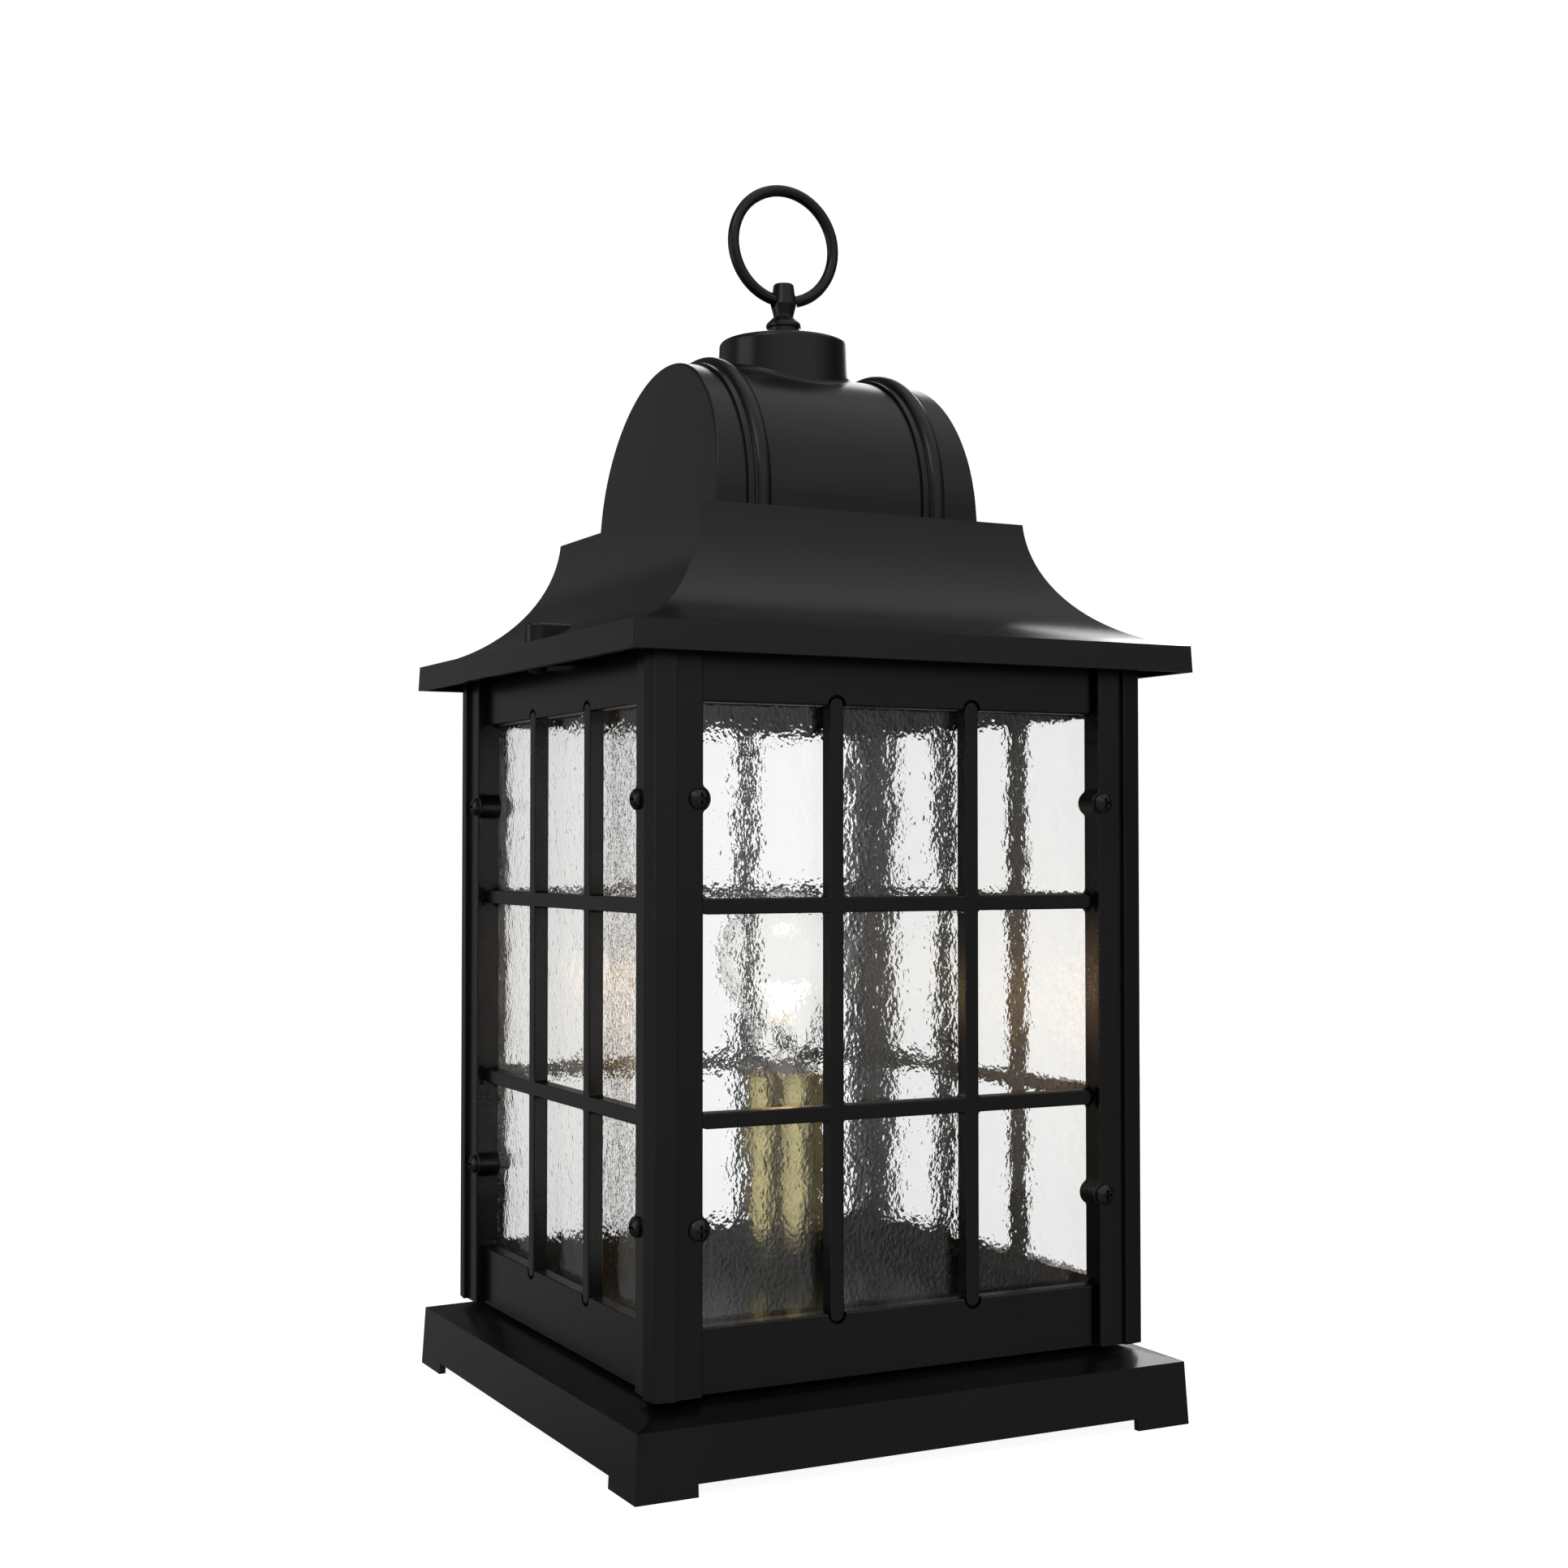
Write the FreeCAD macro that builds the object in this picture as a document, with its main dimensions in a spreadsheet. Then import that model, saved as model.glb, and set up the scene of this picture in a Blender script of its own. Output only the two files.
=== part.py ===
import FreeCAD, Part
import os

import Sketcher

# Square candle lantern for a pier top: a hollow base casting, a glazed cage of four
# two-layer corner posts, a lift-off roof with a barrel vault, and a carrying ring.
# Millimetres, +Z up, origin at the centre of the base's underside, -Y is the front.

os.makedirs("parts", exist_ok=True)

V = FreeCAD.Vector
doc = FreeCAD.newDocument("lantern")
sheet = doc.addObject("Spreadsheet::Sheet", "sizes")

SIZES = {
    # base casting
    "base_half": 127.0, "skirt_half": 125.7, "skirt_height": 26.1,
    "hip_half": 104.0, "hip_height": 31.3, "table_half": 98.0, "table_height": 40.0,
    "base_wall": 3.0, "foot_length": 26.0, "foot_height": 4.9, "foot_wall": 5.0,
    "wire_hole": 5.2, "base_screw_place": 90.0,
    # cage levels and layers, measured outward from the middle
    "cage_bottom": 32.9, "cage_top": 321.5, "stile_bottom": 33.3,
    "pane_bottom": 58.4, "pane_top": 299.8,
    "corner_out": 113.0, "strip_out": 114.3, "strip_edge": 104.2, "flange_out": 112.4,
    "flange_edge": 92.5, "strip_round": 0.4,
    "layer_seam": 109.0, "grille_front": 108.4, "grille_step": 104.2, "layer_back": 102.0,
    "edge_round": 0.7, "corner_round": 0.6,
    # screw ears
    "ear_radius": 5.2, "ear_place": 94.4, "ear_upper": 262.0, "ear_lower": 96.6, "ear_blend": 2.0,
    "post_hole": 2.2, "stile_hole": 2.05,
    # clearance pockets for the grille ends in the posts
    "pocket_depth": 2.0, "pocket_front": 110.9, "pocket_half": 4.3, "pocket_gap": 1.2,
    # grille
    "bar_half": 3.1, "bar_place": 31.7, "bar_lower": 137.4, "bar_upper": 220.3,
    "bar_reach": 91.6, "bar_lap": 3.5, "bar_round": 1.2, "bar_edge": 0.6,
    "notch_radius": 4.1, "rail_edge": 0.9, "horn": 2.6,
    # frames
    "plate_half": 102.0, "plate_hole": 84.0, "sill_plate": 3.0, "head_plate": 6.5,
    "lip_out": 98.6, "lip_in": 96.0, "lip_depth": 9.0,
    "lug_reach": 118.2, "lug_tip": 6.0, "lug_foot": 20.0, "lug_bottom": 319.9, "lug_top": 322.9,
    "lug_hole": 2.2,
    # glass
    "glass_half": 96.8, "glass_back": 98.8, "glass_thick": 3.0,
    "glass_bottom": 43.4, "glass_top": 314.8,
    # screws
    "head_radius": 4.15, "head_height": 2.7, "head_rim": 1.1, "shank_radius": 2.0,
    "panel_shank": 10.0, "roof_screw_shank": 13.0, "base_screw_shank": 5.8,
    "recess_long": 2.3, "recess_wide": 0.55, "recess_deep": 1.6,
    # roof casting
    "eave_bottom": 317.7, "eave_low_half": 129.7, "eave_top": 328.9, "eave_half": 129.2,
    "cove_radius": 60.3, "crown_half": 77.5, "crown_height": 384.0,
    "roof_wall": 2.5, "crown_hole": 56.0, "roof_pad": 6.0, "roof_pad_place": 106.0,
    "boss_radius": 6.0, "boss_top": 338.5, "boss_bottom": 323.0,
    "roof_bore": 2.05, "roof_bore_top": 334.0,
    # barrel vault
    "vault_radius": 62.2, "vault_axis": 393.5, "vault_foot": 64.5, "vault_end": 57.9,
    "vault_top": 455.7, "vault_wall": 2.5, "vault_round": 1.2,
    "rib_place": 42.3, "rib_half": 6.7, "rib_step": 1.2, "bead_half": 3.9, "bead_height": 4.1,
    "neck_low": 440.0, "neck_foot": 30.3, "neck_radius": 29.1, "neck_top": 471.3,
    "neck_round": 2.2, "neck_bore": 25.5, "neck_cap": 4.0, "neck_blend": 3.0, "stud_hole": 3.2,
    # finial and ring
    "ring_axis": 490.6, "ring_radius": 25.3, "wire_radius": 2.6, "ring_fit": 0.05,
    "mouth_reach": 9.0, "mouth_radius": 4.515,
    "finial_foot": 7.4, "foot_groove": 478.0, "finial_rim": 8.0, "rim_low": 478.6,
    "rim_high": 479.8, "shoulder": 7.5, "shoulder_height": 480.6,
    "finial_neck": 4.7, "neck_start": 483.3, "neck_end": 484.2,
    "finial_belly": 6.0, "belly_height": 489.0, "finial_tip": 4.7, "tip_height": 497.8,
    "finial_crown": 4.2, "finial_top": 498.4, "stud_radius": 3.0, "stud_end": 458.0,
    "nut_corner": 6.35, "nut_height": 5.0, "nut_bore": 3.05,
    # candle sleeve, socket and bulb
    "sleeve_radius": 18.55, "sleeve_wall": 1.0, "sleeve_top": 142.6,
    "socket_radius": 16.2, "socket_bottom": 94.0, "socket_floor": 108.0, "socket_top": 141.0,
    "socket_bore": 14.2, "shell_radius": 14.1, "shell_wall": 0.6,
    "nipple_radius": 5.0, "nipple_bore": 3.8, "nipple_bottom": 28.0, "nipple_top": 100.0,
    "nipple_seat": 101.0, "nipple_fit": 5.05, "lock_corner": 9.2, "lock_height": 5.0,
    "cap_radius": 13.0, "cap_wall": 0.5, "cap_low": 114.5, "cap_shoulder": 118.5,
    "cap_top": 142.0, "contact_radius": 4.5, "contact_top": 113.0, "tip_radius": 3.5,
    "tip_low": 113.2, "plug_radius": 4.65, "plug_top": 116.0, "cap_mouth": 4.75,
    "bulb_radius": 29.6, "bulb_centre": 194.0, "bulb_wall": 0.8,
    "bulb_waist": 43.2, "bulb_flat": 0.5,
    "bulb_neck": 14.8, "bulb_neck_height": 150.0, "bulb_collar": 13.4, "bulb_collar_height": 142.0,
    "stem_flare": 12.5, "stem_rim": 1.4, "stem_radius": 5.0, "stem_shoulder": 147.0,
    "stem_tip": 2.6, "stem_top": 168.0, "filament_height": 181.0, "filament_half": 11.0,
    "lead_place": 1.2, "lead_wire": 0.5, "lead_gap": 0.4, "coil_wire": 0.9,
}

for row, (alias, number) in enumerate(SIZES.items(), start=1):
    sheet.set("A%d" % row, alias.replace("_", " "))
    sheet.set("B%d" % row, str(number))
    sheet.setAlias("B%d" % row, alias)
doc.recompute()


class Size:
    """A number together with the sheet expression that gives it."""

    def __init__(self, number, text):
        self.number = number
        self.text = text

    def join(self, other, sign):
        other = size(other)
        numbers = {
            "+": lambda: self.number + other.number,
            "-": lambda: self.number - other.number,
            "*": lambda: self.number * other.number,
            "/": lambda: self.number / other.number,
        }
        return Size(numbers[sign](), "(%s %s %s)" % (self.text, sign, other.text))

    def __add__(self, other):
        return self.join(other, "+")

    def __sub__(self, other):
        return self.join(other, "-")

    def __mul__(self, other):
        return self.join(other, "*")

    def __truediv__(self, other):
        return self.join(other, "/")

    def __neg__(self):
        return size(0) - self


def size(value):
    """A Size from a sheet alias, a plain number or another Size."""
    if isinstance(value, Size):
        return value
    if isinstance(value, str):
        return Size(SIZES[value], "<<sizes>>.%s" % value)
    return Size(float(value), "%.6f" % value)


def bind(thing, name, value):
    """Binds one property of an object to the sheet."""
    thing.setExpression(name, size(value).text)


def body_of(label):
    body = doc.addObject("PartDesign::Body", label)
    body.Label = label
    return body


def origin_plane(body, role):
    return [plane for plane in body.Origin.OriginFeatures if plane.Role == role][0]


def sketch_on(body, role, lift=0):
    """A new sketch on one origin plane of the body, lifted along the plane's normal."""
    sketch = body.newObject("Sketcher::SketchObject", "sketch")
    sketch.AttachmentSupport = (origin_plane(body, role), [""])
    sketch.MapMode = "FlatFace"
    bind(sketch, "AttachmentOffset.Base.z", lift)
    return sketch


def pin(sketch, shape, end, point):
    """Ties one point of the sketch to the sheet."""
    for kind, value in zip(("DistanceX", "DistanceY"), point):
        index = sketch.addConstraint(Sketcher.Constraint(kind, -1, 1, shape, end, value.number))
        sketch.renameConstraint(index, "at%d" % index)
        bind(sketch, "Constraints.at%d" % index, value)


def fix_radius(sketch, shape, radius):
    index = sketch.addConstraint(Sketcher.Constraint("Radius", shape, radius.number))
    sketch.renameConstraint(index, "round%d" % index)
    bind(sketch, "Constraints.round%d" % index, radius)


def hold_centre(sketch, shape, kind, value):
    """Sizes an arc with known ends by holding one coordinate of its centre."""
    index = sketch.addConstraint(Sketcher.Constraint(kind, -1, 1, shape, 3, value.number))
    sketch.renameConstraint(index, "centre%d" % index)
    bind(sketch, "Constraints.centre%d" % index, value)


def arc_between(first, last, radius, side):
    """The arc from first to last; side +1 has its centre to the left of the way there."""
    chord = last - first
    rise = max(radius ** 2 - (chord.Length / 2) ** 2, 0) ** 0.5
    normal = V(-chord.y, chord.x, 0).normalize() * side
    middle = (first + last) / 2 + normal * (rise - radius)
    return Part.Arc(first, middle, last)


def outline(sketch, points, arcs=None, on_axis=()):
    """A closed outline through the points; arcs gives {side number: (radius, side)}.

    The arcs numbered in on_axis have their centre on the sketch's vertical axis.
    """
    arcs = arcs or {}
    corners = [(size(x), size(y)) for x, y in points]
    first_shape = sketch.GeometryCount
    count = len(corners)
    for index in range(count):
        first, last = [V(corner[0].number, corner[1].number, 0)
                       for corner in (corners[index], corners[(index + 1) % count])]
        if index in arcs:
            radius, side = arcs[index]
            sketch.addGeometry(arc_between(first, last, size(radius).number, side), False)
        else:
            sketch.addGeometry(Part.LineSegment(first, last), False)
    ends = []
    for index in range(count):
        turned = index in arcs and arcs[index][1] < 0
        ends.append((2, 1) if turned else (1, 2))
    for index in range(count):
        following = (index + 1) % count
        sketch.addConstraint(Sketcher.Constraint(
            "Coincident", first_shape + index, ends[index][1],
            first_shape + following, ends[following][0]))
    for index, corner in enumerate(corners):
        pin(sketch, first_shape + index, ends[index][0], corner)
    for index, (radius, _) in arcs.items():
        start, finish = corners[index], corners[(index + 1) % count]
        across = abs(finish[0].number - start[0].number)
        along = abs(finish[1].number - start[1].number)
        if index in on_axis:
            hold_centre(sketch, first_shape + index, "DistanceX", size(0))
        elif near(size(radius).number * 2, max(across, along), 1e-6):
            upright = along > across
            hold_centre(sketch, first_shape + index, "DistanceX" if upright else "DistanceY",
                        start[0] if upright else start[1])
        else:
            fix_radius(sketch, first_shape + index, size(radius))
    return sketch


def rectangle(sketch, left, low, right, high):
    return outline(sketch, [(left, low), (right, low), (right, high), (left, high)])


def centred_square(sketch, half):
    half = size(half)
    return rectangle(sketch, -half, -half, half, half)


def circle(sketch, across, along, radius):
    across, along, radius = size(across), size(along), size(radius)
    centre = V(across.number, along.number, 0)
    shape = sketch.addGeometry(Part.Circle(centre, V(0, 0, 1), radius.number), False)
    pin(sketch, shape, 3, (across, along))
    fix_radius(sketch, shape, radius)
    return sketch


def pad(body, sketch, length, reverse=False, symmetric=False):
    feature = body.newObject("PartDesign::Pad", "pad")
    feature.Profile = sketch
    feature.Reversed = reverse
    if symmetric:
        feature.SideType = "Symmetric"
    bind(feature, "Length", length)
    return feature


def pocket(body, sketch, length, reverse=False, symmetric=False):
    feature = body.newObject("PartDesign::Pocket", "pocket")
    feature.Profile = sketch
    feature.Reversed = reverse
    if symmetric:
        feature.SideType = "Symmetric"
    bind(feature, "Length", length)
    return feature


def spin(body, sketch, kind="Revolution", axis="V_Axis"):
    """A full turn of the sketch about its own vertical or horizontal axis."""
    feature = body.newObject("PartDesign::" + kind, kind.lower())
    feature.Profile = sketch
    feature.ReferenceAxis = (sketch, [axis])
    feature.Angle = 360.0
    return feature


def round_edges(body, radius, wanted):
    """Rounds the edges of the body so far for which wanted(edge) holds."""
    doc.recompute()
    base = body.Tip
    names = ["Edge%d" % number for number, edge in enumerate(base.Shape.Edges, start=1)
             if wanted(edge)]
    feature = body.newObject("PartDesign::Fillet", "rounding")
    feature.Base = (base, names)
    bind(feature, "Radius", radius)
    doc.recompute()
    return feature


def near(first, second, slack=0.05):
    return abs(first - second) < slack


def spans(edge):
    box = edge.BoundBox
    return box.XLength, box.YLength, box.ZLength


def turn_about_z(body, quarter):
    body.Placement = FreeCAD.Placement(V(0, 0, 0), FreeCAD.Rotation(V(0, 0, 1), 90.0 * quarter))


def square_loft(body, kind, levels):
    """A ruled loft through centred squares, given as (half width, height)."""
    sketches = [centred_square(sketch_on(body, "XY_Plane", height), half)
                for half, height in levels]
    feature = body.newObject("PartDesign::" + kind, "loft")
    feature.Profile = sketches[0]
    feature.Sections = sketches[1:]
    feature.Ruled = True
    return feature


handed_in = []


def keep(thing, label):
    thing.Label = label
    handed_in.append(thing)
    return thing


# ---------------------------------------------------------------- base casting
def make_base():
    body = body_of("base")
    wall = size("base_wall")
    square_loft(body, "AdditiveLoft", [
        ("base_half", 0), ("skirt_half", "skirt_height"), ("hip_half", "hip_height")])
    table = centred_square(sketch_on(body, "XY_Plane", "hip_height"), "table_half")
    pad(body, table, size("table_height") - "hip_height")
    square_loft(body, "SubtractiveLoft", [
        (size("base_half") - wall, 0),
        (size("skirt_half") - wall, size("skirt_height") - wall),
        (size("hip_half") - wall, size("hip_height") - wall)])
    hollow = centred_square(sketch_on(body, "XY_Plane", size("hip_height") - wall),
                            size("table_half") - wall)
    pocket(body, hollow, size("table_height") - "hip_height", reverse=True)
    gap = size("base_half") - "foot_length"
    for role in ("XZ_Plane", "YZ_Plane"):
        notch = rectangle(sketch_on(body, role), -gap, 0, gap, "foot_height")
        pocket(body, notch, size("base_half") * 2.2, symmetric=True)
    holes = sketch_on(body, "XY_Plane", "table_height")
    circle(holes, 0, 0, "wire_hole")
    place = size("base_screw_place")
    for across in (place, -place):
        for along in (place, -place):
            circle(holes, across, along, "post_hole")
    pocket(body, holes, wall * 2)
    return keep(body, "base")


# ---------------------------------------------------------------- cage frames
def rail(body, low, high, notch_height, horn_up):
    """One front rail in two laps, with the two notches that take the upright bars."""
    reach = size("bar_reach")
    edge = size("flange_edge")
    horn = size("horn")
    low, high = size(low), size(high)
    if horn_up:
        corners = [(-edge, low), (edge, low), (edge, high + horn), (edge - horn, high),
                   (horn - edge, high), (-edge, high + horn)]
        curves = {2: (horn, -1), 4: (horn, -1)}
    else:
        corners = [(-edge, low - horn), (horn - edge, low), (edge - horn, low),
                   (edge, low - horn), (edge, high), (-edge, high)]
        curves = {0: (horn, -1), 2: (horn, -1)}
    back = outline(sketch_on(body, "XZ_Plane", "layer_back"), corners, curves)
    back_pad = pad(body, back, size("grille_step") - "layer_back")
    front = rectangle(sketch_on(body, "XZ_Plane", "grille_step"), -reach, low, reach, high)
    front_pad = pad(body, front, size("grille_front") - "grille_step")
    notches = sketch_on(body, "XZ_Plane", "grille_front")
    for across in (size("bar_place"), -size("bar_place")):
        circle(notches, across, notch_height, "notch_radius")
    cut = pocket(body, notches, size("grille_front") - "grille_step")
    return [back_pad, front_pad, cut]


def round_rail_edges(body, level):
    """Rounds the front edges of the four rails along the pane and at their ends."""
    face = SIZES["grille_front"]
    reach = SIZES["bar_reach"]

    def wanted(edge):
        box = edge.BoundBox
        on_front = near(abs(box.YMin), face) and near(box.YMin, box.YMax)
        on_side = near(abs(box.XMin), face) and near(box.XMin, box.XMax)
        along_pane = near(box.ZMin, level) and near(box.ZMax, level)
        middle = edge.CenterOfMass
        far = abs(middle.x) if on_front else abs(middle.y)
        at_end = near(far, reach) and box.ZLength > 5
        return (on_front or on_side) and (along_pane or at_end)

    round_edges(body, "rail_edge", wanted)


def around_square(body, features):
    """Repeats the features on the other three sides."""
    doc.recompute()
    pattern = body.newObject("PartDesign::PolarPattern", "four_sides")
    pattern.Originals = features
    pattern.Axis = (origin_axis(body, "Z_Axis"), [""])
    pattern.Angle = 360.0
    pattern.Occurrences = 4
    body.Tip = pattern
    doc.recompute()
    return pattern


def origin_axis(body, role):
    return [axis for axis in body.Origin.OriginFeatures if axis.Role == role][0]


def square_ring(body, height, outer, inner, thick):
    ring = centred_square(sketch_on(body, "XY_Plane", height), outer)
    centred_square(ring, inner)
    return pad(body, ring, thick)


def make_bottom_frame():
    body = body_of("bottom_frame")
    square_ring(body, "table_height", "plate_half", "plate_hole", "sill_plate")
    low = size("cage_bottom")
    notch = size("pane_bottom") - size("bar_lap") + "bar_half"
    around_square(body, rail(body, low, "pane_bottom", notch, True))
    round_rail_edges(body, SIZES["pane_bottom"])
    square_ring(body, size("table_height") + "sill_plate", "lip_out", "lip_in", "lip_depth")
    holes = sketch_on(body, "XY_Plane", size("table_height") + "sill_plate")
    place = size("base_screw_place")
    for across in (place, -place):
        for along in (place, -place):
            circle(holes, across, along, "stile_hole")
    pocket(body, holes, "sill_plate")
    return keep(body, "bottom_frame")


def make_top_frame():
    body = body_of("top_frame")
    plate_low = size("cage_top") - "head_plate"
    square_ring(body, plate_low, "plate_half", "plate_hole", "head_plate")
    notch = size("pane_top") + size("bar_lap") - "bar_half"
    around_square(body, rail(body, "pane_top", "cage_top", notch, False))
    round_rail_edges(body, SIZES["pane_top"])
    square_ring(body, plate_low - "lip_depth", "lip_out", "lip_in", "lip_depth")
    thick = size("lug_top") - "lug_bottom"
    for side in (1, -1):
        lug = sketch_on(body, "XY_Plane", "lug_bottom")
        root = size("grille_step") * side
        tip = size("lug_reach") * side
        foot = size("lug_foot") * side
        end = size("lug_tip") * side
        outline(lug, [(root, -foot), (tip, -end), (tip, end), (root, foot)],
                {1: ("lug_tip", 1)})
        pad(body, lug, thick)
        hole = circle(sketch_on(body, "XY_Plane", "lug_top"), tip, 0, "lug_hole")
        pocket(body, hole, thick)
    return keep(body, "top_frame")


# ---------------------------------------------------------------- corner posts and stiles
def corner_layer(body, points, low, outer, hole):
    """An upright angle in the -X -Y corner, with two screw ears on each flange."""
    angle = outline(sketch_on(body, "XY_Plane", low), points)
    pad(body, angle, size("cage_top") - low)
    inner = size("layer_back") if outer == "layer_seam" else size("layer_seam")
    thick = size(outer) - inner
    place = size("ear_place")
    for role, sign in (("XZ_Plane", 1), ("YZ_Plane", -1)):
        lift = inner if sign > 0 else -inner
        for height in ("ear_lower", "ear_upper"):
            ear = circle(sketch_on(body, role, lift), -place, height, "ear_radius")
            pad(body, ear, thick, reverse=sign < 0)

    def beside_ear(edge):
        across, along, up = spans(edge)
        centre = edge.CenterOfMass
        long_way = max(across, along)
        flat = min(across, along) < 0.01 and up < 0.01
        at_edge = near(-centre.x, SIZES["flange_edge"]) or near(-centre.y, SIZES["flange_edge"])
        at_ear = any(abs(centre.z - SIZES[ear]) < 8 for ear in ("ear_lower", "ear_upper"))
        return flat and at_edge and at_ear and near(long_way, thick.number)

    round_edges(body, "ear_blend", beside_ear)
    for role, sign in (("XZ_Plane", 1), ("YZ_Plane", -1)):
        face = size(outer) * sign
        for height in ("ear_lower", "ear_upper"):
            drill = circle(sketch_on(body, role, face), -place, height, hole)
            pocket(body, drill, thick, reverse=sign < 0)


def make_post(name, quarter):
    body = body_of(name)
    flat, edge, seam = -size("flange_out"), -size("flange_edge"), -size("layer_seam")
    tip, proud, strip = -size("corner_out"), -size("strip_out"), -size("strip_edge")
    corner_layer(body, [
        (tip, tip), (strip, proud), (strip, flat), (edge, flat), (edge, seam),
        (seam, seam), (seam, edge), (flat, edge), (flat, strip), (proud, strip)],
        size("cage_bottom"), "flange_out", "post_hole")
    half = size("pocket_half")
    gap = size("pocket_gap")
    levels = [(size(bar) - half, size(bar) + half) for bar in ("bar_lower", "bar_upper")]
    levels.append((size("cage_bottom") - 1, size("pane_bottom") + gap))
    levels.append((size("pane_top") - gap, size("cage_top") + 1))
    depth = size("pocket_front") - "layer_seam"
    for role, sign in (("XZ_Plane", 1), ("YZ_Plane", -1)):
        cut = sketch_on(body, role, size("layer_seam") * sign)
        for low, high in levels:
            rectangle(cut, edge - "pocket_depth", low, edge + 1, high)
        pocket(body, cut, depth, reverse=sign > 0)

    def outer_rim(shape):
        box = shape.BoundBox
        on_front = near(-box.YMin, SIZES["flange_out"]) and near(-box.YMax, SIZES["flange_out"])
        on_side = near(-box.XMin, SIZES["flange_out"]) and near(-box.XMax, SIZES["flange_out"])
        reach = -box.XMax if on_front else -box.YMax
        circle_hole = hasattr(shape.Curve, "Radius") and near(shape.Curve.Radius, SIZES["post_hole"])
        is_upright = box.ZLength > 1.0
        return (on_front or on_side) and reach < SIZES["flange_edge"] + 3 and is_upright \
            and not circle_hole

    round_edges(body, "edge_round", outer_rim)

    def upright_at(shape, across, along):
        box = shape.BoundBox
        return near(box.XMin, -across) and near(box.XMax, -across) \
            and near(box.YMin, -along) and near(box.YMax, -along)

    tip, proud, strip = SIZES["corner_out"], SIZES["strip_out"], SIZES["strip_edge"]
    round_edges(body, "corner_round", lambda shape: upright_at(shape, tip, tip))
    round_edges(body, "strip_round", lambda shape: upright_at(shape, strip, proud)
                or upright_at(shape, proud, strip))
    turn_about_z(body, quarter)
    return keep(body, name)


def make_stile(name, quarter):
    body = body_of(name)
    edge, seam, back = -size("flange_edge"), -size("layer_seam"), -size("layer_back")
    corner_layer(body, [
        (seam, seam), (edge, seam), (edge, back), (back, back), (back, edge), (seam, edge)],
        size("stile_bottom"), "layer_seam", "stile_hole")
    turn_about_z(body, quarter)
    return keep(body, name)


# ---------------------------------------------------------------- grilles and glass
def make_grille(name, quarter):
    """Two upright and two cross bars in two laps; the front lap has round ends."""
    body = body_of(name)
    half = size("bar_half")
    reach = size("bar_reach")
    low = size("pane_bottom") - "bar_lap"
    high = size("pane_top") + "bar_lap"
    back_thick = size("grille_step") - "layer_back"
    front_thick = size("grille_front") - "grille_step"
    for middle in (-size("bar_place"), size("bar_place")):
        lap = rectangle(sketch_on(body, "XZ_Plane", "layer_back"),
                        middle - half, "pane_bottom", middle + half, "pane_top")
        pad(body, lap, back_thick)
        front = outline(sketch_on(body, "XZ_Plane", "grille_step"), [
            (middle - half, low + half), (middle + half, low + half),
            (middle + half, high - half), (middle - half, high - half)],
            {0: (half, 1), 2: (half, 1)})
        pad(body, front, front_thick)
    for middle in (size("bar_lower"), size("bar_upper")):
        edge = size("flange_edge")
        horn = size("horn")
        lap = outline(sketch_on(body, "XZ_Plane", "layer_back"), [
            (-edge, middle - half - horn), (horn - edge, middle - half),
            (edge - horn, middle - half), (edge, middle - half - horn),
            (edge, middle + half + horn), (edge - horn, middle + half),
            (horn - edge, middle + half), (-edge, middle + half + horn)],
            {0: (horn, -1), 2: (horn, -1), 4: (horn, -1), 6: (horn, -1)})
        pad(body, lap, back_thick)
        front = outline(sketch_on(body, "XZ_Plane", "grille_step"), [
            (half - reach, middle - half), (reach - half, middle - half),
            (reach - half, middle + half), (half - reach, middle + half)],
            {1: (half, 1), 3: (half, 1)})
        pad(body, front, front_thick)

    def at_crossing(edge):
        across, along, up = spans(edge)
        centre = edge.CenterOfMass
        beside = near(abs(abs(centre.x) - SIZES["bar_place"]), SIZES["bar_half"])
        level = any(near(abs(centre.z - SIZES[bar]), SIZES["bar_half"])
                    for bar in ("bar_lower", "bar_upper"))
        return across < 0.01 and up < 0.01 and along > 1.0 and beside and level

    round_edges(body, "bar_round", at_crossing)

    def on_front(edge):
        box = edge.BoundBox
        return near(box.YMin, -SIZES["grille_front"]) and near(box.YMax, -SIZES["grille_front"])

    round_edges(body, "bar_edge", on_front)
    turn_about_z(body, quarter)
    return keep(body, name)


def make_glass(name, quarter):
    body = body_of(name)
    half = size("glass_half")
    pane = rectangle(sketch_on(body, "XZ_Plane", "glass_back"),
                     -half, "glass_bottom", half, "glass_top")
    pad(body, pane, "glass_thick")
    turn_about_z(body, quarter)
    return keep(body, name)


# ---------------------------------------------------------------- screws
def make_screw(name, shank):
    """A pan head screw along +Z: head above the origin, shank below, cross recess."""
    body = body_of(name)
    radius, height = size("head_radius"), size("head_height")
    rim, thin = size("head_rim"), size("shank_radius")
    crown = radius * 0.35
    shape = outline(sketch_on(body, "XZ_Plane"), [
        (0, -size(shank)), (thin, -size(shank)), (thin, 0), (radius, 0), (radius, rim),
        (crown, height), (0, height)], {4: (radius * 0.95, 1)})
    spin(body, shape)
    for long_way, wide_way in (("recess_long", "recess_wide"), ("recess_wide", "recess_long")):
        across, along = size(long_way), size(wide_way)
        slot = rectangle(sketch_on(body, "XY_Plane", height), -across, -along, across, along)
        pocket(body, slot, "recess_deep")
    doc.recompute()
    return body


def group_of(pattern, places, label):
    """One hand-in object with a separate copy of the pattern at each placement."""
    copies = []
    for place in places:
        copy = pattern.Shape.copy()
        copy.Placement = place.multiply(copy.Placement)
        copies.append(copy)
    group = doc.addObject("Part::Feature", label)
    group.Shape = Part.makeCompound(copies)
    return keep(group, label)


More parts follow.
